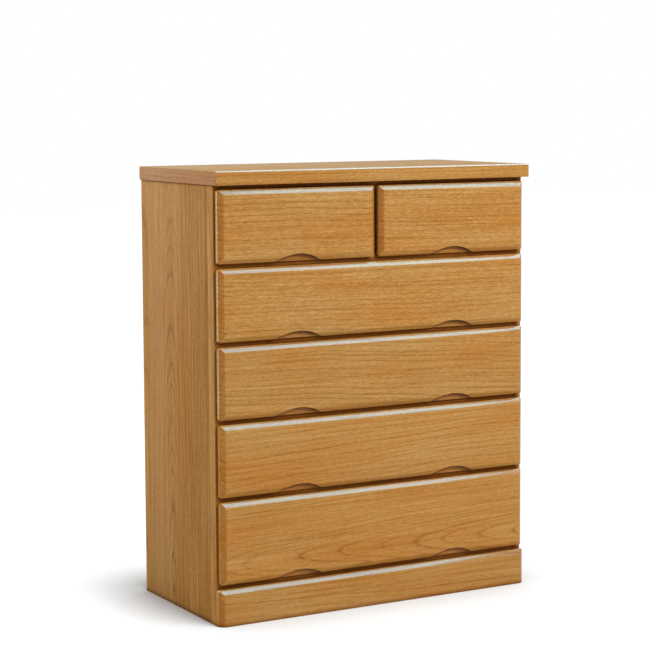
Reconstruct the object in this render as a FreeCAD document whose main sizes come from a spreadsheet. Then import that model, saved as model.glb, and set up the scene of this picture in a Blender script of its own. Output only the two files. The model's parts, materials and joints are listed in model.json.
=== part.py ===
import FreeCAD, Part
import math
import os
import re
import Sketcher

# A wooden chest of drawers: two half-width drawers over four of full width.
# X runs to the right, Y to the back and Z up. The origin is on the floor, under the middle of the top slab.
# All lengths are in millimetres.

doc = FreeCAD.newDocument("chest_of_drawers")
sizes = doc.addObject("Spreadsheet::Sheet", "sizes")

drivingSizes = [
    ("chestWidth", 800, "top slab, end to end"),
    ("chestDepth", 390, "top slab, front to back"),
    ("topThickness", 30, "top slab"),
    ("topSideOverhang", 4, "top slab past the side panels"),
    ("topFrontOverhang", 25, "top slab past the front of the carcass"),
    ("topStripWidth", 10, "solid strip along the slab's front"),
    ("topArris", 3, "rounding of the slab's upper edges"),
    ("sideThickness", 20, "side panels and their strips"),
    ("sideFrontStrip", 28, "solid strip on a side panel's front edge"),
    ("sideRearStrip", 30, "solid strip on a side panel's rear edge"),
    ("backThickness", 4, "plywood back"),
    ("backSetback", 2, "back panel, in from the rear of the sides"),
    ("backRebate", 10, "lap of the back panel in each rear strip"),
    ("backFoot", 60, "lower edge of the back panel above the floor"),
    ("dustThickness", 4, "plywood bottom of the carcass"),
    ("baseHeight", 80, "base board"),
    ("baseThickness", 20, "base board"),
    ("plinthThickness", 18, "rear plinth rail"),
    ("blockWidth", 25, "corner blocks in the base, square"),
    ("blockHeight", 60, "corner blocks in the base"),
    ("railThickness", 18, "rails and runners, up and down"),
    ("railDepth", 45, "rails, front to back"),
    ("tenonLength", 10, "stub tenons on the rails' ends"),
    ("tenonWidth", 16, "stub tenons, front to back"),
    ("tenonThickness", 10, "stub tenons, up and down"),
    ("tenonInset", 6, "stub tenon from the face of its rail"),
    ("dividerThickness", 18, "upright board between the two top drawers"),
    ("runnerWidth", 15, "wooden runners, out of the sides"),
    ("runnerHousing", 3, "groove in a side panel that holds a runner"),
    ("screwLength", 28, "wood screws"),
    ("screwDiameter", 4, "wood screws, shank"),
    ("screwHead", 8, "wood screws, countersunk head"),
    ("screwTip", 6, "wood screws, length of the point"),
    ("screwClearance", 0.1, "air round a screw, on the radius"),
    ("screwInset", 40, "screws from the rails' ends"),
    ("frontHeight", 157.5, "drawer fronts of rows 1 to 4"),
    ("lowFrontHeight", 180, "drawer front of row 5"),
    ("frontThickness", 20, "drawer fronts"),
    ("frontGap", 10, "shadow gap between neighbouring fronts"),
    ("frontReveal", 5, "side panel left showing beside a front"),
    ("frontEdge", 10, "square edge that the bevel leaves"),
    ("frontCorner", 5, "rounding of a front's outline"),
    ("bevelWidth", 11, "flat of the bevel, carried on to the face"),
    ("bevelRound", 8, "radius that blends the bevel into the face"),
    ("closedGap", 0.5, "air between a closed front and the carcass"),
    ("pullSpan", 130, "arched finger pull with its run-outs"),
    ("pullHeight", 16, "finger pull above the front's lower edge"),
    ("pullRunout", 0.8, "drop of the pull's ends below that edge"),
    ("pullEndRound", 30, "hollow radius at each end of the pull"),
    ("pullWall", 7, "wood behind the finger pull"),
    ("slotWidth", 7, "finger slot behind the lip of the pull"),
    ("slotRise", 6, "finger slot above the lip"),
    ("sideClearance", 1.5, "drawer box to what guides it, each side"),
    ("runGap", 0.3, "drawer box above its runners"),
    ("boxHeadroom", 4, "drawer box under the lowest rail over it"),
    ("boxBackClearance", 15, "closed drawer box to the back panel"),
    ("drawerSide", 12, "drawer sides"),
    ("drawerBack", 12, "drawer backs"),
    ("drawerBottom", 4, "drawer bottoms"),
    ("bottomLift", 8, "drawer bottom above the sides' lower edges"),
    ("grooveDepth", 6, "groove in a drawer side for the bottom"),
    ("frontGroove", 3, "groove in a drawer front for the bottom"),
    ("lapDepth", 9, "dovetails let into a drawer front"),
    ("tailShare", 0.62, "root of a tail as a share of the pitch"),
    ("tailSlopeShare", 0.14, "splay of a tail as a share of its length"),
    ("overrun", 5, "cutting shapes past the wood"),
]
tailCount = 4
screwHeadAngle = 90

for line, (alias, size, meaning) in enumerate(drivingSizes, start=1):
    sizes.set(f"A{line}", meaning)
    sizes.set(f"B{line}", str(size))
    sizes.setAlias(f"B{line}", alias)
doc.recompute()
aliases = {alias for alias, size, meaning in drivingSizes}

# Places that follow from the sizes, as expressions.
carcassHalf = "(chestWidth / 2 - topSideOverhang)"
innerHalf = f"({carcassHalf} - sideThickness)"
slabFront = "(-chestDepth / 2)"
carcassFront = "(topFrontOverhang - chestDepth / 2)"
carcassBack = "(chestDepth / 2)"
backPlane = "(chestDepth / 2 - backSetback - backThickness)"
faceBack = f"({carcassFront} - closedGap)"
boxBack = f"({backPlane} - boxBackClearance)"
boxLength = f"({boxBack} - {faceBack})"
rows = (1, 2, 3, 4, 5)
frontHeights = {row: "frontHeight" for row in rows[:-1]} | {rows[-1]: "lowFrontHeight"}


def frontBottom(row):
    if row == rows[-1]:
        return "(baseHeight + frontGap)"
    upper = len(rows) - 1 - row
    return f"(baseHeight + lowFrontHeight + 2 * frontGap + {upper} * (frontHeight + frontGap))"


def frontTop(row):
    return f"({frontBottom(row)} + {frontHeights[row]})"


def railTop(row):
    # The rail under a row sits behind the middle of the gap, and carries the drawers above it.
    return f"({frontBottom(row)} + (railThickness - frontGap) / 2)"


def railBottom(row):
    return f"({railTop(row)} - railThickness)"


slabBottom = f"({frontTop(1)} + frontGap)"
slabTop = f"({slabBottom} + topThickness)"
topRailBottom = f"({slabBottom} - railThickness)"
dustTop = railBottom(rows[-1])
dustBottom = f"({dustTop} - dustThickness)"
faceOuter = f"({carcassHalf} - frontReveal)"
halfCentre = f"(({faceOuter} + frontGap / 2) / 2)"
boxOuter = f"({innerHalf} - sideClearance)"
boxInner = "(dividerThickness / 2 + sideClearance)"
boxRise = "((railThickness - frontGap) / 2 + runGap)"
coreFront = f"({carcassFront} + sideFrontStrip)"
coreBack = f"({carcassBack} - sideRearStrip)"
runnerFront = f"({carcassFront} + railDepth)"
runnerInner = f"({innerHalf} - runnerWidth)"
rearRailFront = f"({backPlane} - railDepth)"
topRailMiddles = (f"({carcassFront} + railDepth / 2)", f"({backPlane} - railDepth / 2)")
tailFoot = "(bottomLift + drawerBottom)"
screwHole = "(screwDiameter + 2 * screwClearance)"
screwSink = "(screwHead + 2 * screwClearance)"
tenonAcross = "((railThickness - tenonThickness) / 2)"
rearTenonInset = "(railDepth - tenonInset - tenonWidth)"

pieces = []


def named(text):
    # Each size's plain name becomes its address on the sheet.
    return re.sub(r"[A-Za-z]\w*", lambda word: f"sizes.{word[0]}" if word[0] in aliases else word[0], text)


def number(text):
    result = sizes.evalExpression(named(text))
    return float(getattr(result, "Value", result))


def newPiece(label, x, y, z):
    body = doc.addObject("PartDesign::Body", label)
    body.Label = label
    body.AllowCompound = True
    for axis, place in zip("xyz", (x, y, z)):
        body.setExpression(f"Placement.Base.{axis}", named(place))
    pieces.append(body)
    return body


def newSketch(body, name, plane, start):
    # The sketch lies on one of the body's own origin planes, moved along its normal to start.
    sketch = body.newObject("Sketcher::SketchObject", f"{body.Label}_{name}_sketch")
    origin = next(item for item in body.Origin.OriginFeatures if item.Role == plane)
    sketch.AttachmentSupport = (origin, [""])
    sketch.MapMode = "FlatFace"
    sketch.setExpression("AttachmentOffset.Base.z", named(start))
    return sketch


def arcEdge(start, finish, radius, turn):
    # The shorter arc between two points; turn is 1 counter-clockwise and -1 clockwise.
    chord = finish - start
    across = FreeCAD.Vector(-chord.y, chord.x, 0).normalize()
    rise = math.sqrt(radius ** 2 - (chord.Length / 2) ** 2)
    centre = (start + finish) / 2 + across * rise * turn
    low, high = (start, finish) if turn > 0 else (finish, start)
    angles = [math.atan2(point.y - centre.y, point.x - centre.x) for point in (low, high)]
    return Part.ArcOfCircle(Part.Circle(centre, FreeCAD.Vector(0, 0, 1), radius), *angles)


def addOutline(sketch, corners):
    # Each corner is (x, y), or (x, y, radius, turn) where the edge that leaves it is an arc.
    first = len(sketch.Geometry)
    count = len(corners)
    spots = [FreeCAD.Vector(number(corner[0]), number(corner[1]), 0) for corner in corners]
    edges = []
    ends = []
    for place, corner in enumerate(corners):
        start, finish = spots[place], spots[(place + 1) % count]
        if len(corner) == 2:
            edges.append(Part.LineSegment(start, finish))
            ends.append((1, 2))
        else:
            edges.append(arcEdge(start, finish, number(corner[2]), corner[3]))
            ends.append((1, 2) if corner[3] > 0 else (2, 1))
    sketch.addGeometry(edges, False)
    rules = []
    texts = []
    for place, corner in enumerate(corners):
        following = (place + 1) % count
        edge, nextEdge = first + place, first + following
        begin, end = ends[place]
        rules.append(Sketcher.Constraint("Coincident", edge, end, nextEdge, ends[following][0]))
        texts.append(None)
        rules.append(Sketcher.Constraint("DistanceX", -1, 1, edge, begin, spots[place].x))
        texts.append(corner[0])
        rules.append(Sketcher.Constraint("DistanceY", -1, 1, edge, begin, spots[place].y))
        texts.append(corner[1])
        if len(corner) > 2:
            rules.append(Sketcher.Constraint("Radius", edge, number(corner[2])))
            texts.append(corner[2])
    bindRules(sketch, rules, texts)


def addCircles(sketch, centres, diameter):
    first = len(sketch.Geometry)
    rules = []
    texts = []
    circles = []
    for place, (x, y) in enumerate(centres):
        centre = FreeCAD.Vector(number(x), number(y), 0)
        circles.append(Part.Circle(centre, FreeCAD.Vector(0, 0, 1), number(diameter) / 2))
        rules.append(Sketcher.Constraint("DistanceX", -1, 1, first + place, 3, centre.x))
        rules.append(Sketcher.Constraint("DistanceY", -1, 1, first + place, 3, centre.y))
        rules.append(Sketcher.Constraint("Diameter", first + place, number(diameter)))
        texts += [x, y, diameter]
    sketch.addGeometry(circles, False)
    bindRules(sketch, rules, texts)


def bindRules(sketch, rules, texts):
    first = sketch.ConstraintCount
    sketch.addConstraint(rules)
    for place, text in enumerate(texts):
        if text is not None:
            sketch.setExpression(f"Constraints[{first + place}]", named(text))


def rectangle(left, low, right, high):
    return [(left, low), (right, low), (right, high), (left, high)]


def pad(body, name, plane, start, length, outlines):
    sketch = newSketch(body, name, plane, start)
    for corners in outlines:
        addOutline(sketch, corners)
    feature = body.newObject("PartDesign::Pad", f"{body.Label}_{name}")
    feature.Profile = sketch
    feature.setExpression("Length", named(length))
    return feature


def cutSketch(body, name, sketch, length):
    # Every cut runs along its sketch's normal.
    feature = body.newObject("PartDesign::Pocket", f"{body.Label}_{name}")
    feature.Profile = sketch
    feature.Reversed = True
    feature.setExpression("Length", named(length))
    return feature


def cut(body, name, plane, start, length, outlines):
    sketch = newSketch(body, name, plane, start)
    for corners in outlines:
        addOutline(sketch, corners)
    return cutSketch(body, name, sketch, length)


def countersink(body, name, centres):
    # Clearance holes up through the board, each with a seat for the screw's head below.
    sketch = newSketch(body, name, "XY_Plane", "0")
    addCircles(sketch, centres, screwHole)
    doc.recompute()
    feature = body.newObject("PartDesign::Hole", f"{body.Label}_{name}")
    feature.Profile = sketch
    feature.Reversed = True
    doc.recompute()
    feature.ThreadType = "None"
    feature.setExpression("Diameter", named(screwHole))
    feature.DepthType = "ThroughAll"
    feature.HoleCutType = "Countersink"
    feature.HoleCutCustomValues = True
    feature.setExpression("HoleCutDiameter", named(screwSink))
    feature.HoleCutCountersinkAngle = screwHeadAngle
    feature.DrillPoint = "Flat"
    return feature


def board(label, low, high):
    # A plain board between two corners, drawn from its lower left front one.
    body = newPiece(label, *low)
    width, depth, height = (f"({far} - {near})" for near, far in zip(low, high))
    pad(body, "blank", "XY_Plane", "0", height, [rectangle("0", "0", width, depth)])
    return body


def roundEdges(body, name, radius, wanted):
    doc.recompute()
    edges = enumerate(body.Tip.Shape.Edges, start=1)
    names = [f"Edge{place}" for place, edge in edges if wanted(edge.CenterOfMass)]
    base = body.Tip
    feature = body.newObject("PartDesign::Fillet", f"{body.Label}_{name}")
    feature.Base = (base, names)
    feature.setExpression("Radius", named(radius))
    return feature


def near(value, text):
    return abs(value - number(text)) < number("overrun") * 1e-6


# Top slab


def topSlab():
    left, right = "(-chestWidth / 2)", "(chestWidth / 2)"
    stripBack = f"({slabFront} + topStripWidth)"
    panel = board("top_panel", (left, stripBack, slabBottom), (right, carcassBack, slabTop))
    across = [f"({right} - {innerHalf} + screwInset)", f"({right} + {innerHalf} - screwInset)"]
    along = [f"({middle} - {stripBack})" for middle in topRailMiddles]
    pilots = newSketch(panel, "pilots", "XY_Plane", "(-overrun)")
    addCircles(pilots, [(x, y) for x in across for y in along], screwHole)
    cutSketch(panel, "pilots", pilots, "(screwLength - railThickness + screwClearance + overrun)")
    roundEdges(panel, "arris", "topArris", lambda middle: near(middle.z, "topThickness") and (
        near(middle.x, "0") or near(middle.x, "chestWidth")))
    strip = board("top_front_strip", (left, slabFront, slabBottom), (right, stripBack, slabTop))
    roundEdges(strip, "arris", "topArris", lambda middle: near(middle.z, "topThickness") and not near(
        middle.y, "topStripWidth"))


# Sides, each a panel between two solid strips


def sides():
    for side, sign in (("left", -1), ("right", 1)):
        low, high = (f"(-{carcassHalf})", f"(-{innerHalf})") if sign < 0 else (innerHalf, carcassHalf)
        panel = board(f"{side}_side_panel", (low, coreFront, "0"), (high, coreBack, slabBottom))
        start = "(sideThickness - runnerHousing)" if sign < 0 else "(-overrun)"
        housingFront = f"({runnerFront} - {coreFront})"
        cut(panel, "runner_housings", "YZ_Plane", start, "(runnerHousing + overrun)", [
            rectangle(housingFront, railBottom(row), f"({runnerBack(row)} - {coreFront})", railTop(row))
            for row in rows])

        strip = board(f"{side}_front_strip", (low, carcassFront, "0"), (high, coreFront, slabBottom))
        start = "(sideThickness - tenonLength)" if sign < 0 else "(-overrun)"
        frontLevels = [railBottom(row) for row in rows] + [topRailBottom]
        cut(strip, "mortises", "YZ_Plane", start, "(tenonLength + overrun)", [
            mortise("tenonInset", level) for level in frontLevels])

        strip = board(f"{side}_rear_strip", (low, coreBack, "0"), (high, carcassBack, slabBottom))
        rebate = "(sideThickness - backRebate)" if sign < 0 else "(-overrun)"
        rebateFront = f"({backPlane} - {coreBack})"
        cut(strip, "rebate", "YZ_Plane", rebate, "(backRebate + overrun)", [
            rectangle(rebateFront, "backFoot", "(sideRearStrip + overrun)", f"({slabBottom} + overrun)")])
        rearLevels = [railBottom(rows[-1]), railBottom(1), topRailBottom]
        rearInset = f"({backPlane} - tenonInset - tenonWidth - {coreBack})"
        cut(strip, "mortises", "YZ_Plane", start, "(tenonLength + overrun)", [
            mortise(rearInset, level) for level in rearLevels])


def mortise(inset, level):
    low = f"({level} + {tenonAcross})"
    return rectangle(inset, low, f"({inset} + tenonWidth)", f"({low} + tenonThickness)")


# Rails between the sides, with a stub tenon at each end


def rail(label, front, level, tenonFrom):
    low = (f"(-{innerHalf})", front, level)
    body = board(label, low, (innerHalf, f"({front} + railDepth)", f"({level} + railThickness)"))
    length = f"(2 * {innerHalf})"
    ends = [("(-tenonLength)", "0"), (length, f"({length} + tenonLength)")]
    pad(body, "tenons", "XY_Plane", tenonAcross, "tenonThickness", [
        rectangle(left, tenonFrom, right, f"({tenonFrom} + tenonWidth)") for left, right in ends])
    return body


def rails():
    screwPlaces = [(x, "(railDepth / 2)") for x in ("screwInset", f"(2 * {innerHalf} - screwInset)")]
    for body in (rail("top_front_rail", carcassFront, topRailBottom, "tenonInset"),
                 rail("top_rear_rail", rearRailFront, topRailBottom, rearTenonInset)):
        countersink(body, "screw_holes", screwPlaces)
    for row in rows[:-1]:
        rail(f"front_rail_{row}", carcassFront, railBottom(row), "tenonInset")
    rail("rear_rail_1", rearRailFront, railBottom(1), rearTenonInset)
    rail("bottom_front_rail", carcassFront, railBottom(rows[-1]), "tenonInset")
    rail("bottom_rear_rail", rearRailFront, railBottom(rows[-1]), rearTenonInset)


# Runners: a pair for each row, let into the sides, and one under the divider for the two top drawers


def runnerBack(row):
    # Rows 1 and 5 have a rail at the back too, which their runners stop at.
    return rearRailFront if row in (rows[0], rows[-1]) else coreBack


def runners():
    outer = f"({innerHalf} + runnerHousing)"
    for row in rows:
        body = newPiece(f"row_{row}_runners", "0", runnerFront, railBottom(row))
        length = f"({runnerBack(row)} - {runnerFront})"
        pad(body, "blanks", "XY_Plane", "0", "railThickness", [
            rectangle(f"(-{outer})", "0", f"(-{runnerInner})", length),
            rectangle(runnerInner, "0", outer, length)])
    half = "(dividerThickness / 2 + runnerWidth)"
    board("centre_runner", (f"(-{half})", runnerFront, railBottom(1)), (half, rearRailFront, railTop(1)))
    half = "(dividerThickness / 2)"
    board("centre_divider", (f"(-{half})", carcassFront, railTop(1)), (half, backPlane, topRailBottom))


# Back, bottom and base


def backAndBottom():
    half = f"({innerHalf} + backRebate)"
    rear = f"({backPlane} + backThickness)"
    board("back_panel", (f"(-{half})", backPlane, "backFoot"), (half, rear, slabBottom))
    board("bottom_panel", (f"(-{innerHalf})", carcassFront, dustBottom), (innerHalf, backPlane, dustTop))
    plinthFront = f"({backPlane} - plinthThickness)"
    board("rear_plinth_rail", (f"(-{innerHalf})", plinthFront, "0"), (innerHalf, backPlane, dustBottom))
    blocks = newPiece("base_corner_blocks", "0", "0", f"({dustBottom} - blockHeight)")
    inner = f"({innerHalf} - blockWidth)"
    corners = [(left, right, low, high)
               for left, right in ((f"(-{innerHalf})", f"(-{inner})"), (inner, innerHalf))
               for low, high in ((carcassFront, f"({carcassFront} + blockWidth)"),
                                 (f"({plinthFront} - blockWidth)", plinthFront))]
    pad(blocks, "blanks", "XY_Plane", "0", "blockHeight", [
        rectangle(left, low, right, high) for left, right, low, high in corners])


# Bevelled boards: the drawer fronts and the base board
# The bevel is a flat that runs from the square edge and rolls over into the face.


def bevel(thickness, far, plane):
    # Outline of what the bevel takes off at one edge. far is None at the near edge, else the distance
    # to the other one.
    turn = f"atan(({thickness} - frontEdge) / bevelWidth)"
    reach = f"(bevelWidth + bevelRound * tan({turn} / 2))"
    flatEnd = f"({reach} - bevelRound * sin({turn}))"
    flatDepth = f"(-({thickness} - bevelRound * (1 - cos({turn}))))"
    face = f"(-{thickness})"
    outside = f"(-({thickness} + overrun))"
    across = [("0", "(-frontEdge)"), (flatEnd, flatDepth), (reach, face),
              (reach, outside), ("(-overrun)", outside), ("(-overrun)", "(-frontEdge)")]
    if far is not None:
        across = [(f"({far} - {along})", depth) for along, depth in across]
    swap = plane == "YZ_Plane"
    corners = [(depth, along) if swap else (along, depth) for along, depth in across]
    turnWay = (1 if far is None else -1) * (-1 if swap else 1)
    corners[1] += ("bevelRound", turnWay)
    return corners


def bevelledBoard(label, low, width, height, thickness, roundFoot):
    # Drawn from the lower left corner of its back, with its face to the front.
    body = newPiece(label, *low)
    right, top = f"({width} - frontCorner)", f"({height} - frontCorner)"
    foot = [("frontCorner", "0"), (right, "0", "frontCorner", 1), (width, "frontCorner")]
    if not roundFoot:
        foot = [("0", "0"), (width, "0")]
    head = [(width, top, "frontCorner", 1), (right, height),
            ("frontCorner", height, "frontCorner", 1), ("0", top)]
    if roundFoot:
        head.append(("0", "frontCorner", "frontCorner", 1))
    pad(body, "blank", "XZ_Plane", "0", thickness, [foot + head])
    long = [bevel(thickness, height, "YZ_Plane")]
    if roundFoot:
        long.append(bevel(thickness, None, "YZ_Plane"))
    cut(body, "long_bevels", "YZ_Plane", "(-overrun)", f"({width} + 2 * overrun)", long)
    cut(body, "end_bevels", "XY_Plane", "(-overrun)", f"({height} + 2 * overrun)", [
        bevel(thickness, None, "XY_Plane"), bevel(thickness, width, "XY_Plane")])
    return body


def baseBoard():
    low = (f"(-{carcassHalf})", carcassFront, "0")
    bevelledBoard("base_board", low, f"(2 * {carcassHalf})", "baseHeight", "baseThickness", False)


# Finger pulls: an arch with hollow ends, cut up into a front's lower edge


def pullOutline(centre, height):
    half = "(pullSpan / 2)"
    turn = f"(2 * atan(({height} + pullRunout) / {half}))"
    crown = f"({half} / sin({turn}) - pullEndRound)"
    flankAcross = f"({crown} * sin({turn}))"
    flankUp = f"({height} - {crown} * (1 - cos({turn})))"
    return [
        (f"({centre} - {half})", "(-overrun)"),
        (f"({centre} + {half})", "(-overrun)"),
        (f"({centre} + {half})", "(-pullRunout)", "pullEndRound", -1),
        (f"({centre} + {flankAcross})", flankUp, crown, 1),
        (f"({centre} - {flankAcross})", flankUp, "pullEndRound", -1),
        (f"({centre} - {half})", "(-pullRunout)")]


# Dovetails: the tails are on the drawer sides, and their sockets in the fronts and backs


def tails(boxHeight, low, depth):
    # Lower root, lower tip, upper tip and upper root of each tail, from the bottom up.
    pitch = f"(({boxHeight} - {low}) / {tailCount})"
    root = f"({pitch} * tailShare / 2)"
    tip = f"({root} + {depth} * tailSlopeShare)"
    for place in range(tailCount):
        centre = f"({low} + {place + 0.5} * {pitch})"
        yield f"({centre} - {root})", f"({centre} - {tip})", f"({centre} + {tip})", f"({centre} + {root})"


def sockets(body, name, start, length, tip, lift, boxHeight, depth):
    # The tails' own outlines, cut into the board from where it meets the drawer side.
    outlines = []
    for low, lowTip, highTip, high in tails(boxHeight, tailFoot, depth):
        outlines.append([("0", f"({lift} + {low})"), (tip, f"({lift} + {lowTip})"),
                         (tip, f"({lift} + {highTip})"), ("0", f"({lift} + {high})")])
    cut(body, name, "YZ_Plane", start, length, outlines)


def drawerSide(label, left, row, boxHeight, innerLow, innerHigh):
    body = newPiece(label, left, faceBack, f"({railTop(row)} + runGap)")
    rearRoot = f"({boxLength} - drawerBack)"
    corners = [("0", "0")]
    for low, lowTip, highTip, high in tails(boxHeight, tailFoot, "lapDepth"):
        corners += [("0", low), ("(-lapDepth)", lowTip), ("(-lapDepth)", highTip), ("0", high)]
    corners += [("0", boxHeight), (rearRoot, boxHeight)]
    for low, lowTip, highTip, high in reversed(list(tails(boxHeight, tailFoot, "drawerBack"))):
        corners += [(rearRoot, high), (boxLength, highTip), (boxLength, lowTip), (rearRoot, low)]
    corners += [(rearRoot, tailFoot), (boxLength, tailFoot), (boxLength, "0")]
    pad(body, "blank", "YZ_Plane", "0", "drawerSide", [corners])
    cut(body, "bottom_groove", "XY_Plane", "bottomLift", "drawerBottom", [
        rectangle(innerLow, "(-overrun)", innerHigh, f"({boxLength} + overrun)")])


def drawer(name, row, faceLeft, faceRight, boxLeft, boxRight, pulls):
    height = frontHeights[row]
    width = f"({faceRight} - {faceLeft})"
    boxHeight = f"({height} - (railThickness - frontGap) - boxHeadroom - {boxRise})"
    boxBottom = f"({railTop(row)} + runGap)"
    leftAt = f"({boxLeft} - {faceLeft})"
    rightAt = f"({boxRight} - {faceLeft} - drawerSide)"

    low = (faceLeft, faceBack, frontBottom(row))
    front = bevelledBoard(f"{name}_front", low, width, height, "frontThickness", True)
    for side, at in (("left", leftAt), ("right", rightAt)):
        sockets(front, f"{side}_sockets", at, "drawerSide", "(-lapDepth)", boxRise, boxHeight, "lapDepth")
    grooveLeft, grooveRight = f"({leftAt} + drawerSide - grooveDepth)", f"({rightAt} + grooveDepth)"
    cut(front, "bottom_groove", "XY_Plane", f"({boxRise} + bottomLift)", "drawerBottom", [
        rectangle(grooveLeft, "(-frontGroove)", grooveRight, "overrun")])
    centres = [f"({at} - {faceLeft})" for at in pulls]
    cut(front, "pulls", "XZ_Plane", "pullWall", "(frontThickness - pullWall + overrun)", [
        pullOutline(centre, "pullHeight") for centre in centres])
    cut(front, "finger_slots", "XZ_Plane", "pullWall", "slotWidth", [
        pullOutline(centre, "(pullHeight + slotRise)") for centre in centres])

    groove = "(drawerSide - grooveDepth)"
    right = f"({boxRight} - drawerSide)"
    drawerSide(f"{name}_left_side", boxLeft, row, boxHeight, groove, "(drawerSide + overrun)")
    drawerSide(f"{name}_right_side", right, row, boxHeight, "(-overrun)", "grooveDepth")

    backFront = f"({boxBack} - drawerBack)"
    back = board(f"{name}_back", (boxLeft, backFront, f"({boxBottom} + {tailFoot})"),
                 (boxRight, boxBack, f"({boxBottom} + {boxHeight})"))
    boxWidth = f"({boxRight} - {boxLeft})"
    for side, start in (("left", "(-overrun)"), ("right", f"({boxWidth} - drawerSide)")):
        length, lift = "(drawerSide + overrun)", f"(-{tailFoot})"
        sockets(back, f"{side}_sockets", start, length, "drawerBack", lift, boxHeight, "drawerBack")

    low = (f"({boxLeft} + {groove})", f"({faceBack} - frontGroove)", f"({boxBottom} + bottomLift)")
    board(f"{name}_bottom", low, (f"({boxRight} - {groove})", boxBack, f"({boxBottom} + {tailFoot})"))


def drawers():
    left, right = f"(-{halfCentre})", halfCentre
    outerLeft, outerRight = f"(-{faceOuter})", faceOuter
    drawer("top_left_drawer", 1, outerLeft, "(-frontGap / 2)", f"(-{boxOuter})", f"(-{boxInner})", [left])
    drawer("top_right_drawer", 1, "(frontGap / 2)", outerRight, boxInner, boxOuter, [right])
    for row in rows[1:]:
        drawer(f"drawer_{row}", row, outerLeft, outerRight, f"(-{boxOuter})", boxOuter, [left, right])


# Wood screws, all alike, up through the top rails into the slab


def screwShape():
    head, shank = number("screwHead / 2"), number("screwDiameter / 2")
    length, tip = number("screwLength"), number("screwTip")
    points = [(0, 0), (head, 0), (shank, head - shank), (shank, length - tip), (0, length), (0, 0)]
    profile = Part.Face(Part.makePolygon([FreeCAD.Vector(across, 0, along) for across, along in points]))
    return profile.revolve(FreeCAD.Vector(0, 0, 0), FreeCAD.Vector(0, 0, 1), 360)


def screws():
    across = number(f"({innerHalf} - screwInset)")
    heads = [FreeCAD.Vector(sign * across, number(y), 0) for sign in (-1, 1) for y in topRailMiddles]
    node = doc.addObject("Part::Feature", "top_screws")
    node.Label = "top_screws"
    node.Shape = Part.makeCompound([screwShape().translated(head) for head in heads])
    node.Placement = FreeCAD.Placement(FreeCAD.Vector(0, 0, number(topRailBottom)), FreeCAD.Rotation())
    pieces.append(node)


topSlab()
sides()
rails()
runners()
backAndBottom()
baseBoard()
drawers()
screws()
doc.recompute()

for item in doc.Objects:
    if "Invalid" in item.State or "Error" in item.State:
        raise RuntimeError(f"{item.Label} failed: {item.State}")
    if item.TypeId in ("PartDesign::Pocket", "PartDesign::Hole"):
        before = item.BaseFeature.Shape.Volume
        if not item.Shape.Volume < before:
            raise RuntimeError(f"{item.Label} cuts nothing")
for piece in pieces:
    if piece.Shape.isNull() or not piece.Shape.isValid():
        raise RuntimeError(f"{piece.Label} has no sound shape")

os.makedirs("parts", exist_ok=True)
for piece in pieces:
    piece.Shape.exportStep(f"parts/{piece.Label}.step")
print(f"{len(pieces)} pieces, {sum(len(piece.Shape.Solids) for piece in pieces)} solids")
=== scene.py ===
import json
import math
import bpy
from mathutils import Matrix, Vector


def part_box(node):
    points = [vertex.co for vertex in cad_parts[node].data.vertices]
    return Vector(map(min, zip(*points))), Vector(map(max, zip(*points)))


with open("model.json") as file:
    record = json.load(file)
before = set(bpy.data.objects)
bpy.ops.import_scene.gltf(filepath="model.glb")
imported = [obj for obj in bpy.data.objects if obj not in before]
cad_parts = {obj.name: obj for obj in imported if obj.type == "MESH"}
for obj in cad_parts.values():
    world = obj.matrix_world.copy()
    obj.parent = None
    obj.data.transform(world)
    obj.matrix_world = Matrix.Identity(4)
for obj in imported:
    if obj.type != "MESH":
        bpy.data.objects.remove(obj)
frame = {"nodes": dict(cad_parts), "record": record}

bpy.context.view_layer.update()
nodes = frame["nodes"]
print("frame loaded:", len(nodes), "boards and fittings")


# small helpers for node trees

def feed(tree, socket, value):
    if isinstance(value, bpy.types.NodeSocket):
        tree.links.new(value, socket)
    else:
        socket.default_value = value


def calc(tree, operation, *values, clamp=False):
    node = tree.nodes.new("ShaderNodeMath")
    node.operation = operation
    node.use_clamp = clamp
    for socket, value in zip(node.inputs, values):
        feed(tree, socket, value)
    return node.outputs[0]


def plus(tree, first, second, clamp=False):
    return calc(tree, "ADD", first, second, clamp=clamp)


def minus(tree, first, second):
    return calc(tree, "SUBTRACT", first, second)


def times(tree, first, second, clamp=False):
    return calc(tree, "MULTIPLY", first, second, clamp=clamp)


def vectorCalc(tree, operation, *values):
    node = tree.nodes.new("ShaderNodeVectorMath")
    node.operation = operation
    for socket, value in zip(node.inputs, values):
        feed(tree, socket, value)
    return node.outputs["Value"] if operation in ("DOT_PRODUCT", "LENGTH") else node.outputs["Vector"]


def combine(tree, x, y, z):
    node = tree.nodes.new("ShaderNodeCombineXYZ")
    for socket, value in zip(node.inputs, (x, y, z)):
        feed(tree, socket, value)
    return node.outputs[0]


def separate(tree, vector):
    node = tree.nodes.new("ShaderNodeSeparateXYZ")
    feed(tree, node.inputs[0], vector)
    return node.outputs


def noise(tree, vector, detail=2.0, roughness=0.5):
    node = tree.nodes.new("ShaderNodeTexNoise")
    feed(tree, node.inputs["Vector"], vector)
    node.inputs["Scale"].default_value = 1.0
    node.inputs["Detail"].default_value = detail
    node.inputs["Roughness"].default_value = roughness
    return node.outputs["Fac"]


def remap(tree, value, low, high, toLow=0.0, toHigh=1.0, smooth=False):
    node = tree.nodes.new("ShaderNodeMapRange")
    node.interpolation_type = "SMOOTHSTEP" if smooth else "LINEAR"
    labels = ("Value", "From Min", "From Max", "To Min", "To Max")
    for label, item in zip(labels, (value, low, high, toLow, toHigh)):
        feed(tree, node.inputs[label], item)
    return node.outputs["Result"]


# a Mix node's sockets for each kind of data: its two inputs and its output
mixSockets = {"RGBA": (6, 7, 2), "VECTOR": (4, 5, 1)}


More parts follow.
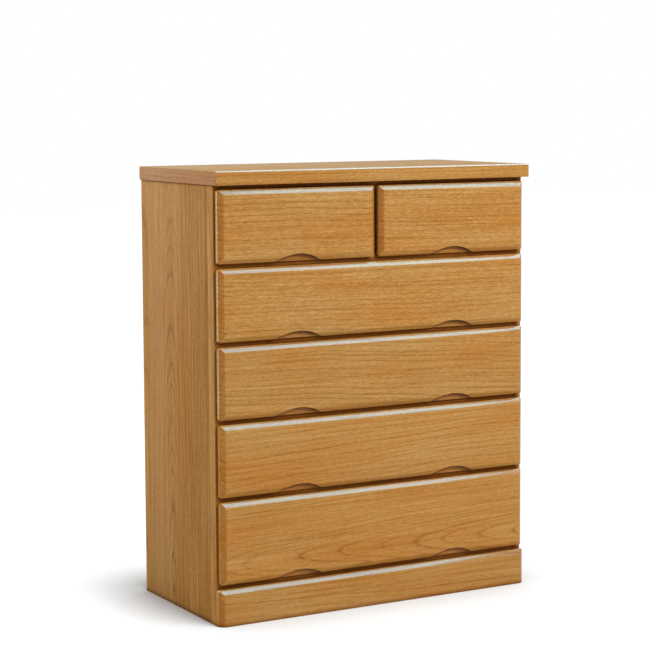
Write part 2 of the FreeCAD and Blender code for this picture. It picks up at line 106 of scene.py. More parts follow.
def mix(tree, factor, first, second, kind="RGBA", blend="MIX"):
    node = tree.nodes.new("ShaderNodeMix")
    node.data_type = kind
    node.blend_type = blend
    firstSocket, secondSocket, result = mixSockets[kind]
    feed(tree, node.inputs["Factor"], factor)
    feed(tree, node.inputs[firstSocket], first)
    feed(tree, node.inputs[secondSocket], second)
    return node.outputs[result]


def tinted(tree, color, tint):
    return mix(tree, 1.0, color, tint, blend="MULTIPLY")


def opaque(color):
    return (*color, 1.0)


def newGroup(name, inputs, outputs):
    tree = bpy.data.node_groups.new(name, "ShaderNodeTree")
    for label, kind, value in inputs:
        socket = tree.interface.new_socket(label, in_out="INPUT", socket_type="NodeSocket" + kind)
        if value is not None:
            socket.default_value = value
    for label, kind in outputs:
        tree.interface.new_socket(label, in_out="OUTPUT", socket_type="NodeSocket" + kind)
    return tree, tree.nodes.new("NodeGroupInput").outputs, tree.nodes.new("NodeGroupOutput").inputs


def place(tree, group, **values):
    node = tree.nodes.new("ShaderNodeGroup")
    node.node_tree = group
    for label, value in values.items():
        feed(tree, node.inputs[label.replace("_", " ")], value)
    return node.outputs


# wood figure: growth rings round a pith that lies off the board, with pores, flecks and fibres along x

# how many times a metre each kind of unevenness varies, along the grain and across it
figureScales = {"sway": (1.6, 6.0), "swayDeep": (2.1, 8.0), "ripple": (9.0, 40.0), "jitter": (70.0, 260.0),
                "broken": (13.0, 320.0), "pores": (60.0, 1100.0), "fibre": (2.6, 130.0),
                "fleck": (95.0, 340.0), "cloud": (3.0, 14.0), "specks": (13.0, 22.0)}
# how far the rings sway and ripple, as multiples of a board's waviness, and how far they jitter, in metres;
# then how uneven their widths and strengths are, and where they break up
ringValues = {"sway": 3.0, "ripple": 0.25, "jitter": 0.0009, "unevenPace": 0.45, "uneven": 2.2,
              "weakest": 0.35, "broken": (0.34, 0.6, 0.25, 1.0)}
# how dark a ring is, from its start to the next one's
ringProfile = [(0.0, 1.0), (0.05, 0.8), (0.14, 0.3), (0.3, 0.1), (0.85, 0.0), (0.93, 0.15), (1.0, 1.0)]
poreValues = {"dashes": (0.54, 0.7), "everywhere": 0.2, "inRings": 0.75}
speckValues = {"without": (0.80, 0.82), "edge": (0.05, 0.02)}   # the share of cells without one, and its edge
heightValues = {"fibre": 0.35, "rings": 0.15}   # how far fibres rise and rings sink, where pores sink by 1
seedShift = (7.31, 3.17, 5.53)   # how far one seed lies from the next


def buildWoodFigure():
    tree, given, out = newGroup("woodFigure", [
        ("Vector", "Vector", None), ("Seed", "Float", 1.0), ("Ring Width", "Float", 0.004),
        ("Pith Depth", "Float", 0.05), ("Pith Across", "Float", 0.0), ("Pith Tilt", "Float", 0.02),
        ("Waviness", "Float", 0.01), ("Pore Amount", "Float", 1.0)],
        [("Rings", "Float"), ("Pores", "Float"), ("Fibre", "Float"), ("Fleck", "Float"), ("Cloud", "Float"),
         ("Speck", "Float"), ("Height", "Float")])
    seed = given["Seed"]
    shift = combine(tree, *(times(tree, seed, step) for step in seedShift))

    def scaledFor(kind):
        along, across = figureScales[kind]
        scaled = vectorCalc(tree, "MULTIPLY", given["Vector"], (along, across, across))
        return vectorCalc(tree, "ADD", scaled, shift)

    def uneven(kind, **values):
        return minus(tree, noise(tree, scaledFor(kind), **values), 0.5)

    x, y, z = separate(tree, given["Vector"])
    sway = times(tree, uneven("sway", detail=1.0), given["Waviness"])
    swayDeep = times(tree, uneven("swayDeep", detail=1.0), given["Waviness"])
    ripple = times(tree, uneven("ripple"), given["Waviness"])
    across = plus(tree, minus(tree, y, given["Pith Across"]), times(tree, sway, ringValues["sway"]))
    deep = plus(tree, plus(tree, z, given["Pith Depth"]), times(tree, x, given["Pith Tilt"]))
    deep = plus(tree, deep, times(tree, swayDeep, ringValues["sway"]))
    radius = vectorCalc(tree, "LENGTH", combine(tree, across, deep, 0.0))
    radius = plus(tree, radius, times(tree, ripple, ringValues["ripple"]))
    radius = plus(tree, radius, times(tree, uneven("jitter"), ringValues["jitter"]))

    # rings of uneven width, each dark at its start, and each of another strength
    turn = calc(tree, "DIVIDE", radius, given["Ring Width"])
    widths = noise(tree, combine(tree, times(tree, turn, ringValues["unevenPace"]), seed, 0.0), detail=1.0)
    turn = plus(tree, turn, times(tree, widths, ringValues["uneven"]))
    ringNumber = calc(tree, "FLOOR", turn)
    curve = tree.nodes.new("ShaderNodeFloatCurve")
    points = curve.mapping.curves[0].points
    while len(points) < len(ringProfile):
        points.new(0.5, 0.5)
    for point, spot in zip(points, ringProfile):
        point.location = spot
    curve.mapping.update()
    feed(tree, curve.inputs["Value"], minus(tree, turn, ringNumber))
    profile = curve.outputs["Value"]
    white = tree.nodes.new("ShaderNodeTexWhiteNoise")
    white.noise_dimensions = "2D"
    feed(tree, white.inputs["Vector"], combine(tree, ringNumber, seed, 0.0))
    weakest = ringValues["weakest"]
    strength = plus(tree, times(tree, white.outputs["Value"], 1.0 - weakest), weakest)
    broken = remap(tree, noise(tree, scaledFor("broken"), detail=3.0), *ringValues["broken"])
    rings = times(tree, times(tree, profile, strength), broken)

    dashes = remap(tree, noise(tree, scaledFor("pores"), detail=1.0), *poreValues["dashes"], smooth=True)
    openness = plus(tree, times(tree, profile, poreValues["inRings"]), poreValues["everywhere"])
    pores = times(tree, times(tree, dashes, openness), given["Pore Amount"])
    fibre = noise(tree, scaledFor("fibre"), detail=5.0, roughness=0.72)
    fleck = noise(tree, scaledFor("fleck"), detail=2.5, roughness=0.65)
    cloud = noise(tree, scaledFor("cloud"))

    # a few small dark specks, each in a cell of its own
    cells = tree.nodes.new("ShaderNodeTexVoronoi")
    feed(tree, cells.inputs["Vector"], scaledFor("specks"))
    cells.inputs["Scale"].default_value = 1.0
    chosen = remap(tree, separate(tree, cells.outputs["Color"])[0], *speckValues["without"])
    speck = times(tree, remap(tree, cells.outputs["Distance"], *speckValues["edge"], smooth=True), chosen)

    height = minus(tree, times(tree, fibre, heightValues["fibre"]), pores)
    height = minus(tree, height, times(tree, rings, heightValues["rings"]))
    results = {"Rings": rings, "Pores": pores, "Fibre": fibre, "Fleck": fleck, "Cloud": cloud, "Speck": speck,
               "Height": height}
    for label, value in results.items():
        feed(tree, out[label], value)
    return tree


# wood colour: yellow to warm in clouds, darker in the rings and pores, another tint where the grain ends

cloudSpan = (0.3, 0.7)   # from all light to all warm
# where flecks turn into pale pebbles, and into dark ones half as strong
fleckValues = {"pale": (0.48, 0.78), "dark": (0.46, 0.2, 0.0, 0.5), "strength": 0.5}
stainValues = {"pores": 0.75, "specks": 0.7}
shadePowers = (0.75, 1.2, 2.4)   # pebbles turn creamy, and what is darker turns redder
roughnessValues = {"fibre": 0.2, "pores": 0.2, "end": 0.15}


def buildWoodColor():
    tree, given, out = newGroup("woodColor", [
        ("Rings", "Float", 0.0), ("Pores", "Float", 0.0), ("Fibre", "Float", 0.5), ("Fleck", "Float", 0.5),
        ("Cloud", "Float", 0.5), ("Speck", "Float", 0.0), ("End", "Float", 0.0),
        ("End Tint", "Color", (0.62, 0.55, 0.5, 1.0)), ("Light", "Color", (0.6, 0.4, 0.2, 1.0)),
        ("Warm", "Color", (0.6, 0.35, 0.15, 1.0)), ("Dark", "Color", (0.3, 0.15, 0.05, 1.0)),
        ("Pore Color", "Color", (0.15, 0.07, 0.02, 1.0)), ("Ring Amount", "Float", 0.6),
        ("Fleck Amount", "Float", 0.3), ("Fibre Amount", "Float", 0.9), ("Gloss", "Float", 0.35)],
        [("Color", "Color"), ("Roughness", "Float")])
    color = mix(tree, remap(tree, given["Cloud"], *cloudSpan), given["Light"], given["Warm"])
    color = mix(tree, times(tree, given["Rings"], given["Ring Amount"], clamp=True), color, given["Dark"])
    color = mix(tree, times(tree, given["Pores"], stainValues["pores"]), color, given["Pore Color"])
    pale = remap(tree, given["Fleck"], *fleckValues["pale"])
    fleck = minus(tree, pale, remap(tree, given["Fleck"], *fleckValues["dark"]))
    fleck = times(tree, fleck, times(tree, given["Fleck Amount"], fleckValues["strength"]))
    fibre = minus(tree, given["Fibre"], 0.5)
    shade = plus(tree, plus(tree, fleck, times(tree, fibre, given["Fibre Amount"])), 1.0)
    color = tinted(tree, color, combine(tree, *(calc(tree, "POWER", shade, power) for power in shadePowers)))
    color = mix(tree, times(tree, given["Speck"], stainValues["specks"]), color, given["Pore Color"])
    color = mix(tree, given["End"], color, tinted(tree, color, given["End Tint"]))
    rough = plus(tree, given["Gloss"], times(tree, fibre, roughnessValues["fibre"]))
    rough = plus(tree, rough, times(tree, given["Pores"], roughnessValues["pores"]))
    rough = plus(tree, rough, times(tree, given["End"], roughnessValues["end"]), clamp=True)
    feed(tree, out["Color"], color)
    feed(tree, out["Roughness"], rough)
    return tree


# rubbed edges and painted highlight: where the surface turns within a few millimetres, the colour is lighter,
# partly for a finish rubbed thin and partly as a painted highlight on the arrises

wearValues = {"reach": 0.0022, "samples": 4, "turned": (0.995, 0.9), "patchesPerMetre": 60.0,
              "patches": (0.3, 0.65, 0.3, 1.0), "lighter": (1.2, 1.3, 1.6)}


def buildEdgeWearAndHighlight():
    tree, given, out = newGroup("edgeWearAndHighlight", [
        ("Color", "Color", (0.5, 0.5, 0.5, 1.0)), ("Seed", "Float", 1.0), ("Amount", "Float", 0.2)],
        [("Color", "Color"), ("Edge", "Float")])
    bevel = tree.nodes.new("ShaderNodeBevel")
    bevel.samples = wearValues["samples"]
    bevel.inputs["Radius"].default_value = wearValues["reach"]
    geometry = tree.nodes.new("ShaderNodeNewGeometry")
    facing = vectorCalc(tree, "DOT_PRODUCT", bevel.outputs["Normal"], geometry.outputs["Normal"])
    edge = remap(tree, facing, *wearValues["turned"], smooth=True)
    coordinate = tree.nodes.new("ShaderNodeTexCoord")
    scaled = vectorCalc(tree, "MULTIPLY", coordinate.outputs["Object"], (wearValues["patchesPerMetre"],) * 3)
    patchy = noise(tree, vectorCalc(tree, "ADD", scaled, combine(tree, given["Seed"], 0.0, 0.0)), detail=3.0)
    edge = times(tree, edge, remap(tree, patchy, *wearValues["patches"]))
    lighter = tinted(tree, given["Color"], opaque(wearValues["lighter"]))
    feed(tree, out["Color"], mix(tree, times(tree, edge, given["Amount"]), given["Color"], lighter))
    feed(tree, out["Edge"], edge)
    return tree


# recess shade: painted shade, deeper and redder where the wood is sheltered, as in gaps and finger pulls,
# but weaker on slopes that face up; Flat Stain says how much of it stays on level ledges

recessShadeValues = {"reach": 0.016, "samples": 6, "shelter": (0.85, 0.4), "slope": (0.3, 0.7),
                "level": (0.93, 0.98), "keptFacingUp": 0.25}


def buildRecessShade():
    tree, given, out = newGroup("recessShade", [
        ("Color", "Color", (0.5, 0.5, 0.5, 1.0)), ("Tint", "Color", (0.4, 0.25, 0.15, 1.0)),
        ("Reach", "Float", recessShadeValues["reach"]), ("Flat Stain", "Float", recessShadeValues["keptFacingUp"])],
        [("Color", "Color"), ("Shelter", "Float")])
    near = tree.nodes.new("ShaderNodeAmbientOcclusion")
    near.samples = recessShadeValues["samples"]
    feed(tree, near.inputs["Distance"], given["Reach"])
    shelter = remap(tree, near.outputs["AO"], *recessShadeValues["shelter"])
    coordinate = tree.nodes.new("ShaderNodeTexCoord")
    upward = separate(tree, coordinate.outputs["Normal"])[2]
    keptFacingUp = remap(tree, upward, *recessShadeValues["slope"], 1.0, recessShadeValues["keptFacingUp"])
    ledge = remap(tree, upward, *recessShadeValues["level"], 0.0, given["Flat Stain"])
    shelter = times(tree, shelter, calc(tree, "MAXIMUM", keptFacingUp, ledge))
    feed(tree, out["Color"], mix(tree, shelter, given["Color"], tinted(tree, given["Color"], given["Tint"])))
    feed(tree, out["Shelter"], shelter)
    return tree


woodFigure = buildWoodFigure()
woodColor = buildWoodColor()
edgeWearAndHighlight = buildEdgeWearAndHighlight()
recessShade = buildRecessShade()
print("wood, colour and wear groups built")


# finishes; colours are linear

plainFinish = {"endTint": (0.62, 0.55, 0.5), "flatStain": 0.25, "fibreAmount": 0.9, "coat": 0.0,
               "coatRoughness": 0.3, "bump": 0.0001, "wear": 0.2}


def finish(**values):
    return dict(plainFinish, **values)


finishes = {
    # the fronts' pale ends are partly end grain and partly a painted highlight on their side edges
    "front_wood": finish(
        light=(0.510, 0.270, 0.068), warm=(0.49, 0.205, 0.034), dark=(0.29, 0.085, 0.006),
        pore=(0.17, 0.06, 0.008), endTint=(1.4, 2.1, 4.6), slantTint=(0.93, 0.78, 0.54), flatStain=1.0,
        ringAmount=1.0, fleckAmount=0.85, gloss=0.4, specular=0.12, coat=0.12, coatUp=1.0,
        coatRoughness=0.14, wear=0.5),
    "top_wood": finish(
        light=(0.505, 0.288, 0.074), warm=(0.485, 0.254, 0.056), dark=(0.32, 0.14, 0.022),
        pore=(0.21, 0.095, 0.013), endTint=(0.86, 0.75, 1.1), ringAmount=0.7, fleckAmount=0.5, gloss=0.5,
        specular=0.21, coatRoughness=0.2, wear=0.25),
    "side_wood": finish(
        light=(0.50, 0.255, 0.064), warm=(0.46, 0.20, 0.037), dark=(0.20, 0.075, 0.012),
        pore=(0.16, 0.07, 0.013), ringAmount=1.4, fleckAmount=0.6, fibreAmount=1.5, gloss=0.6, specular=0.1),
    "frame_wood": finish(
        light=(0.50, 0.255, 0.062), warm=(0.47, 0.205, 0.038), dark=(0.27, 0.10, 0.014),
        pore=(0.18, 0.075, 0.012), ringAmount=0.6, fleckAmount=0.5, gloss=0.6, specular=0.1),
    "box_wood": finish(
        light=(0.72, 0.55, 0.34), warm=(0.68, 0.49, 0.28), dark=(0.50, 0.34, 0.18), pore=(0.36, 0.23, 0.12),
        endTint=(0.72, 0.66, 0.6), ringAmount=0.55, fleckAmount=0.25, gloss=0.65, specular=0.3, bump=0.00015),
    "inner_wood": finish(
        light=(0.60, 0.42, 0.24), warm=(0.57, 0.37, 0.19), dark=(0.42, 0.26, 0.12), pore=(0.28, 0.16, 0.07),
        endTint=(0.68, 0.62, 0.56), ringAmount=0.5, fleckAmount=0.3, gloss=0.65, specular=0.3, bump=0.00015),
    "plywood": finish(
        light=(0.62, 0.43, 0.23), warm=(0.58, 0.37, 0.18), dark=(0.44, 0.26, 0.11), pore=(0.3, 0.17, 0.07),
        endTint=(0.7, 0.62, 0.55), ringAmount=0.5, fleckAmount=0.3, gloss=0.6, specular=0.3, wear=0.15),
}

# the colour of the painted shade in gaps and recesses
recessShadeTint = (0.36, 0.235, 0.13)
recessDull = 0.35   # how much rougher the finish is where it is sheltered
# painted shade on the rear wall of a finger pull: a darker tint over all of it, and a deeper shade close
# under the lip
pullShadeValues = {"tint": (0.90, 0.77, 0.60), "shade": (0.13, 0.045, 0.015), "reach": 0.027, "blend": 0.001}

# how each kind of board lies: the way of its grain and of its width
lays = {
    "alongX": ((1, 0, 0), (0, 0, 1)),
    "flatX": ((1, 0, 0), (0, 1, 0)),
    "alongZ": ((0, 0, 1), (0, 1, 0)),
    "backZ": ((0, 0, 1), (1, 0, 0)),
    "alongY": ((0, 1, 0), (0, 0, 1)),
    "flatY": ((0, 1, 0), (1, 0, 0)),
}
# how squarely a face is cut across the grain before it shows as an end, or as a slant
cutSpans = {"end": (0.75, 0.95), "slant": (0.3, 0.6)}
# how squarely a face looks to the front, as -1, or up, as 1, before it counts as what is named
facingSpans = {"front": (-0.6, -0.9), "arrisFront": (-0.2, -0.45), "arrisTop": (0.15, 0.4),
               "lacquer": (0.3, 0.6)}


def boardMapping(tree, lay, centre):
    # gives the place in the board, and how far the surface cuts or slants across the grain
    along, across = (Vector(axis) for axis in lays[lay])
    turn = Matrix((along, across, along.cross(across)))
    coordinate = tree.nodes.new("ShaderNodeTexCoord")
    mapping = tree.nodes.new("ShaderNodeMapping")
    mapping.inputs["Rotation"].default_value = turn.to_euler()
    mapping.inputs["Location"].default_value = -(turn @ centre)
    tree.links.new(coordinate.outputs["Object"], mapping.inputs["Vector"])
    cut = calc(tree, "ABSOLUTE", vectorCalc(tree, "DOT_PRODUCT", coordinate.outputs["Normal"], tuple(along)))
    return mapping.outputs[0], remap(tree, cut, *cutSpans["end"]), remap(tree, cut, *cutSpans["slant"])


def placeTone(tree, look, grain, end, values):
    def shaded(key):
        return opaque(part * values["shade"] for part in look[key])

    return place(tree, woodColor, Rings=grain["Rings"], Pores=grain["Pores"], Fibre=grain["Fibre"],
                 Fleck=grain["Fleck"], Cloud=grain["Cloud"], Speck=grain["Speck"], End=end,
                 End_Tint=opaque(values.get("endTint", look["endTint"])), Light=shaded("light"),
                 Warm=shaded("warm"), Dark=shaded("dark"), Pore_Color=shaded("pore"),
                 Ring_Amount=look["ringAmount"], Fleck_Amount=look["fleckAmount"] * values["fleck"],
                 Fibre_Amount=look["fibreAmount"], Gloss=look["gloss"])


def pullWallShade(tree, color, facing, depth, wallFrom):
    # painted shade on the rear wall of a finger pull, deepest under the lip
    behind = remap(tree, depth, wallFrom - pullShadeValues["blend"], wallFrom)
    wall = place(tree, recessShade, Color=tinted(tree, color, opaque(pullShadeValues["tint"])),
                 Tint=opaque(pullShadeValues["shade"]), Reach=pullShadeValues["reach"])
    return times(tree, facing, behind), wall["Color"]


def woodMaterial(name, look, lay, centre, seed, figure):
    values = dict(defaultFigure, **figure)
    material = bpy.data.materials.new(name)
    material.use_nodes = True
    tree = material.node_tree
    shader = tree.nodes["Principled BSDF"]
    coordinate = tree.nodes.new("ShaderNodeTexCoord")
    _, towards, upward = separate(tree, coordinate.outputs["Normal"])
    vector, end, slant = boardMapping(tree, lay, centre)
    if "bandFinish" in values:
        # the ends look like one band across both boards of the slab, with its grain from front to back
        band, _, _ = boardMapping(tree, "alongY", centre)
        vector = mix(tree, end, vector, band, kind="VECTOR")
    grain = place(tree, woodFigure, Vector=vector, Seed=seed, Ring_Width=values["ringWidth"],
                  Pith_Depth=values["depth"], Pith_Across=values["across"], Pith_Tilt=values["tilt"],
                  Waviness=values["waviness"], Pore_Amount=values["pores"])
    tone = placeTone(tree, look, grain, end, values)
    color = tone["Color"]
    if "bandFinish" in values:
        bandTone = placeTone(tree, finishes[values["bandFinish"]], grain, 1.0, values)
        color = mix(tree, end, color, bandTone["Color"])
    if "slantTint" in look:
        # bevels that cut across the grain drink more stain
        color = mix(tree, minus(tree, slant, end), color, tinted(tree, color, opaque(look["slantTint"])))
    facing = remap(tree, towards, *facingSpans["front"])
    # painted shade on the carcass's front faces, so that the gaps look deep
    if "frontPaintedShade" in values:
        color = mix(tree, facing, color, tinted(tree, color, opaque(values["frontPaintedShade"])))
    # painted shade in gaps and finger pulls, where the surface is sheltered
    recess = place(tree, recessShade, Color=color, Tint=opaque(recessShadeTint), Flat_Stain=look["flatStain"])
    color = recess["Color"]
    # painted shade on the rear wall of the finger pull
    if "pullFrom" in values:
        depth = separate(tree, coordinate.outputs["Object"])[1]
        onWall, shadedWallColor = pullWallShade(tree, color, facing, depth, values["pullFrom"])
        color = mix(tree, onWall, color, shadedWallColor)
    # rubbed edges, partly a painted highlight along the arrises and the rims of the finger pulls
    wornAndHighlit = place(tree, edgeWearAndHighlight, Color=color, Seed=seed, Amount=look["wear"])
    color = wornAndHighlit["Color"]
    if "arrisHighlight" in values:
        # painted highlight along the long rounded arris
        onArris = times(tree, remap(tree, towards, *facingSpans["arrisFront"]),
                        remap(tree, upward, *facingSpans["arrisTop"]))
        color = mix(tree, onArris, color, opaque(values["arrisHighlight"]))
    feed(tree, shader.inputs["Base Color"], color)
    dull = times(tree, recess["Shelter"], recessDull)
    feed(tree, shader.inputs["Roughness"], plus(tree, tone["Roughness"], dull, clamp=True))
    shader.inputs["Specular IOR Level"].default_value = look["specular"]
    shader.inputs["Coat Roughness"].default_value = look["coatRoughness"]
    shader.inputs["Coat Weight"].default_value = look["coat"]
    if "coatUp" in look:
        # the lacquer lies thicker on what faces up
        lacquer = remap(tree, upward, *facingSpans["lacquer"], look["coat"], look["coatUp"])
        bare = minus(tree, 1.0, recess["Shelter"])
        feed(tree, shader.inputs["Coat Weight"], times(tree, lacquer, bare))
    bump = tree.nodes.new("ShaderNodeBump")
    bump.inputs["Strength"].default_value = 1.0
    bump.inputs["Distance"].default_value = look["bump"]
    feed(tree, bump.inputs["Height"], grain["Height"])
    feed(tree, shader.inputs["Normal"], bump.outputs["Normal"])
    return material


steelValues = {"streaksPerMetre": (900.0, 900.0, 120.0), "dark": (0.42, 0.40, 0.33),
               "light": (0.66, 0.63, 0.52), "smooth": 0.25, "rough": 0.5}


def steelMaterial(name):
    material = bpy.data.materials.new(name)
    material.use_nodes = True
    tree = material.node_tree
    shader = tree.nodes["Principled BSDF"]
    coordinate = tree.nodes.new("ShaderNodeTexCoord")
    scaled = vectorCalc(tree, "MULTIPLY", coordinate.outputs["Object"], steelValues["streaksPerMetre"])
    streaks = noise(tree, scaled, detail=3.0)
    color = mix(tree, streaks, opaque(steelValues["dark"]), opaque(steelValues["light"]))
    feed(tree, shader.inputs["Base Color"], color)
    rough = remap(tree, streaks, 0.0, 1.0, steelValues["smooth"], steelValues["rough"])
    feed(tree, shader.inputs["Roughness"], rough)
    shader.inputs["Metallic"].default_value = 1.0
    return material


# boards: how each one lies and what it is cut from, in metres. depth and across say where the tree's pith
# lies from the board's middle, and tilt how fast it comes nearer along the grain

defaultFigure = {"ringWidth": 0.004, "depth": 0.06, "across": 0.0, "tilt": 0.02, "waviness": 0.008,
                 "pores": 1.0, "shade": 1.0, "fleck": 1.0}
gapPaintedShade = (0.95, 0.78, 0.6)   # painted shade: the carcass's front edges are darkened, so that the gaps look deep
endWithoutHighlight = (1.05, 1.1, 1.15)   # ends of the lower boards, which get no painted highlight, unlike the upper fronts' ends
pullDepth = 0.011   # how far behind a front's face the rear wall of its finger pull lies, at least
slab = {"ringWidth": 0.006, "depth": 0.06, "across": -0.25, "tilt": 0.01, "waviness": 0.006,
        "bandFinish": "top_wood"}
sheet = {"ringWidth": 0.02, "depth": 0.04, "waviness": 0.03, "pores": 0.5}
drawerBox = {"ringWidth": 0.007, "depth": 0.1, "waviness": 0.004, "pores": 0.5}
strip = {"ringWidth": 0.005, "depth": 0.12}

boards = {
    "top_panel": ("flatX", slab),
    # the slab's front arris carries a pale painted highlight
    "top_front_strip": ("alongX", dict(slab, arrisHighlight=(0.72, 0.71, 0.64), shade=0.96)),
    "left_side_panel": ("alongZ", {"ringWidth": 0.0065, "depth": 0.045, "across": 0.034, "tilt": 0.09,
                                   "waviness": 0.005, "shade": 0.93}),
    "right_side_panel": ("alongZ", {"ringWidth": 0.007, "depth": 0.05, "across": -0.03, "tilt": 0.085,
                                    "waviness": 0.007, "shade": 0.95}),
    "base_board": ("alongX", {"ringWidth": 0.010, "depth": 0.045, "across": -0.06, "tilt": 0.03,
                              "waviness": 0.012, "shade": 0.91, "fleck": 0.6, "endTint": endWithoutHighlight}),
    "back_panel": ("backZ", sheet),
    "bottom_panel": ("flatX", sheet),
    "centre_divider": ("alongY", {"frontPaintedShade": gapPaintedShade}),
    "centre_runner": ("flatY", {}),
    "base_corner_blocks": ("alongZ", {}),
    "top_front_rail": ("alongX", {"frontPaintedShade": gapPaintedShade}),
    "bottom_front_rail": ("alongX", {"frontPaintedShade": gapPaintedShade}),
}
for side in ("left", "right"):
    boards[f"{side}_front_strip"] = ("alongZ", dict(strip, frontPaintedShade=gapPaintedShade))
    boards[f"{side}_rear_strip"] = ("alongZ", dict(strip, shade=0.95))
for row in range(1, 6):
    boards[f"row_{row}_runners"] = ("alongY", {})
for row in range(1, 5):
    boards[f"front_rail_{row}"] = ("alongX", {"frontPaintedShade": gapPaintedShade})

fronts = {
    "top_left_drawer": {"ringWidth": 0.0105, "depth": 0.05, "across": -0.32, "tilt": 0.0, "waviness": 0.012,
                        "shade": 0.96},
    "top_right_drawer": {"ringWidth": 0.0095, "depth": 0.06, "across": -0.28, "tilt": 0.05, "waviness": 0.010,
                         "shade": 0.985},
    "drawer_2": {"ringWidth": 0.0095, "depth": 0.10, "across": -0.30, "tilt": 0.04, "waviness": 0.010,
                 "shade": 0.97},
    "drawer_3": {"ringWidth": 0.0100, "depth": 0.07, "across": -0.14, "tilt": 0.10, "waviness": 0.014,
                 "shade": 0.94, "fleck": 0.8},
    "drawer_4": {"ringWidth": 0.0095, "depth": 0.10, "across": -0.22, "tilt": -0.06, "waviness": 0.012,
                 "shade": 0.98, "fleck": 0.65, "endTint": endWithoutHighlight},
    "drawer_5": {"ringWidth": 0.0055, "depth": 0.037, "across": -0.05, "tilt": -0.058, "waviness": 0.007,
                 "shade": 0.985, "fleck": 0.55, "endTint": endWithoutHighlight},
}
for drawer, figure in fronts.items():
    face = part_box(f"{drawer}_front")[0][1]
    boards[f"{drawer}_front"] = ("alongX", dict(figure, pullFrom=face + pullDepth))
    boards[f"{drawer}_left_side"] = ("alongY", drawerBox)
    boards[f"{drawer}_right_side"] = ("alongY", drawerBox)
    boards[f"{drawer}_back"] = ("alongX", drawerBox)
    boards[f"{drawer}_bottom"] = ("flatX", sheet)

slotOf = {item["node"]: item["material_slot"] for item in frame["record"]["subparts"]}
# a board that shows another finish than its slot's
finishOf = dict(slotOf, top_front_strip="front_wood")
seeds = {"first": 1.0, "step": 3.7, "slab": 5.0}
slabBoards = ("top_panel", "top_front_strip")


def boardMiddle(name):
    # the slab's two boards share one middle, so that their figure runs on from one to the other
    together = slabBoards if name in slabBoards else (name,)
    corners = [Vector(corner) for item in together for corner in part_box(item)]
    return Vector([(min(values) + max(values)) / 2 for values in zip(*corners)])


steel = steelMaterial("zincSteel")
for order, (name, board) in enumerate(sorted(nodes.items())):
    material = steel
    if slotOf[name] != "screw_steel":
        lay, figure = boards.get(name, ("alongX", {}))
        seed = seeds["slab"] if name in slabBoards else seeds["first"] + seeds["step"] * order
        look = finishes[finishOf[name]]
        material = woodMaterial(f"{slotOf[name]}.{name}", look, lay, boardMiddle(name), seed, figure)
    board.data.materials.clear()
    board.data.materials.append(material)
print("finishes given to", len(nodes), "nodes")


# soft arrises: every board's edges are eased a little

def buildSmoothByAngle(name, angle):
    tree = bpy.data.node_groups.new(name, "GeometryNodeTree")
    tree.interface.new_socket("Geometry", in_out="INPUT", socket_type="NodeSocketGeometry")
    tree.interface.new_socket("Geometry", in_out="OUTPUT", socket_type="NodeSocketGeometry")
    start = tree.nodes.new("NodeGroupInput")
    end = tree.nodes.new("NodeGroupOutput")
    faces = tree.nodes.new("GeometryNodeSetShadeSmooth")
    faces.domain = "FACE"
    edges = tree.nodes.new("GeometryNodeSetShadeSmooth")
    edges.domain = "EDGE"
    edges.inputs["Shade Smooth"].default_value = False
    edgeAngle = tree.nodes.new("GeometryNodeInputMeshEdgeAngle")
    compare = tree.nodes.new("FunctionNodeCompare")
    compare.data_type = "FLOAT"
    compare.operation = "GREATER_THAN"
    compare.inputs[1].default_value = math.radians(angle)
    tree.links.new(edgeAngle.outputs["Unsigned Angle"], compare.inputs[0])
    tree.links.new(start.outputs[0], faces.inputs["Geometry"])
    tree.links.new(faces.outputs["Geometry"], edges.inputs["Geometry"])
    tree.links.new(compare.outputs["Result"], edges.inputs["Selection"])
    tree.links.new(edges.outputs["Geometry"], end.inputs[0])
    return tree


# how wide each wood's arrises are eased, in metres; angles in degrees
arris = {"front_wood": 0.0009, "top_wood": 0.0005, "side_wood": 0.0004, "frame_wood": 0.0005,
         "box_wood": 0.0006, "inner_wood": 0.0006, "plywood": 0.0003}
arrisValues = {"segments": 3, "sharperThan": 28.0, "smoothBelow": 32.0, "weldReach": 0.00001}

smoothByAngle = buildSmoothByAngle("smoothByAngle", arrisValues["smoothBelow"])
for name, board in nodes.items():
    weld = board.modifiers.new("weld", "WELD")
    weld.merge_threshold = arrisValues["weldReach"]
    if slotOf[name] in arris:
        ease = board.modifiers.new("arris", "BEVEL")
        ease.width = arris[slotOf[name]]
        ease.segments = arrisValues["segments"]
        ease.limit_method = "ANGLE"
        ease.angle_limit = math.radians(arrisValues["sharperThan"])
        ease.use_clamp_overlap = True
    smooth = board.modifiers.new("smooth", "NODES")
    smooth.node_group = smoothByAngle
print("arrises eased")


# floor, backdrop and light

stageValues = {"floorSize": 30.0, "floorSeen": (0.84, 0.885, 0.91), "floorBounce": (0.85, 0.85, 0.85),
               "floorRoughness": 0.9, "floorLift": 0.34, "contactReach": 0.18, "contactSamples": 8,
               "contactSpan": (0.45, 1.0), "worldLevel": 0.30}


def seenRay(tree):
    path = tree.nodes.new("ShaderNodeLightPath")
    mirrored = calc(tree, "MAXIMUM", path.outputs["Is Glossy Ray"], path.outputs["Is Transmission Ray"])
    return calc(tree, "MAXIMUM", path.outputs["Is Camera Ray"], mirrored)


